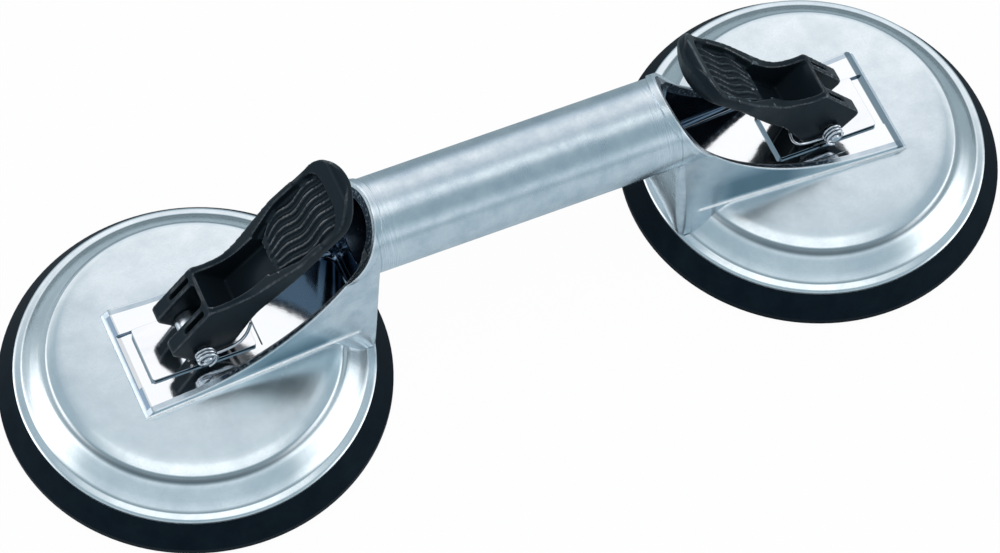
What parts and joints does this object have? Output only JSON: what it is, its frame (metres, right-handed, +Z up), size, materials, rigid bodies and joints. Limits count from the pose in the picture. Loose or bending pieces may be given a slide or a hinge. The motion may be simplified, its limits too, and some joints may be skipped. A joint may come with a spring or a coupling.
{
  "type": "floor tile suction lifter",
  "caption": "Vacuum lifter for flat floor tiles: a hollow cast handle joins rubber-padded suction cups, each with a flip lever that pulls its pad up.",
  "frame": {"origin": "on the floor under the middle of the handle, midway between the cups", "axes": "+X along the handle towards the right cup, +Z up"},
  "size_m": [0.3216, 0.118, 0.0841],
  "materials": {
    "cast_aluminium": "satin brushed casting with polished scoops",
    "pressed_aluminium": "bright satin pressed sheet",
    "polished_steel": "polished wear plate",
    "zinc_steel": "bright zinc plate",
    "spring_steel": "bright drawn spring wire",
    "black_plastic": "semi-gloss moulded plastic",
    "black_rubber": "matte moulded rubber"
  },
  "bodies": {
    "handle": {"handle_body": "cast_aluminium", "left_disc": "pressed_aluminium", "left_rubber_pad": "black_rubber", "left_cam_plate": "polished_steel", "left_guide_bush": "zinc_steel", "left_foot_screws": "zinc_steel", "left_return_spring": "spring_steel", "right_disc": "pressed_aluminium", "right_rubber_pad": "black_rubber", "right_cam_plate": "polished_steel", "right_guide_bush": "zinc_steel", "right_foot_screws": "zinc_steel", "right_return_spring": "spring_steel"},
    "left_stud": {"left_pad_core": "zinc_steel", "left_pull_stud": "zinc_steel", "left_pivot_pin": "zinc_steel", "left_pin_rings": "zinc_steel"},
    "left_lever": {"left_lever": "black_plastic", "left_lever_spring": "spring_steel"},
    "right_stud": {"right_pad_core": "zinc_steel", "right_pull_stud": "zinc_steel", "right_pivot_pin": "zinc_steel", "right_pin_rings": "zinc_steel"},
    "right_lever": {"right_lever": "black_plastic", "right_lever_spring": "spring_steel"}
  },
  "joints": [
    {"name": "left_stud_lift", "type": "slide", "parent": "handle", "child": "left_stud", "axis": [0, 0, 1], "range_m": [0, 0.0057], "stiffness_N_per_m": 50, "springref_m": -0.003, "deforming": ["left_return_spring"]},
    {"name": "left_lever_flip", "type": "hinge", "parent": "left_stud", "child": "left_lever", "pos_m": [-0.10175, 0, 0.0313], "axis": [0, -1, 0], "range_deg": [0, 126], "stiffness_Nm_per_rad": 0.03, "springref_deg": -20.05},
    {"name": "right_stud_lift", "type": "slide", "parent": "handle", "child": "right_stud", "axis": [0, 0, 1], "range_m": [0, 0.0057], "stiffness_N_per_m": 50, "springref_m": -0.003, "deforming": ["right_return_spring"]},
    {"name": "right_lever_flip", "type": "hinge", "parent": "right_stud", "child": "right_lever", "pos_m": [0.10175, 0, 0.0313], "axis": [0, 1, 0], "range_deg": [0, 126], "stiffness_Nm_per_rad": 0.03, "springref_deg": -20.05}
  ],
  "couplings": [
    {"joint": "left_stud_lift", "follows": "left_lever_flip", "m_per_rad": 0.00256},
    {"joint": "right_stud_lift", "follows": "right_lever_flip", "m_per_rad": 0.00256}
  ]
}
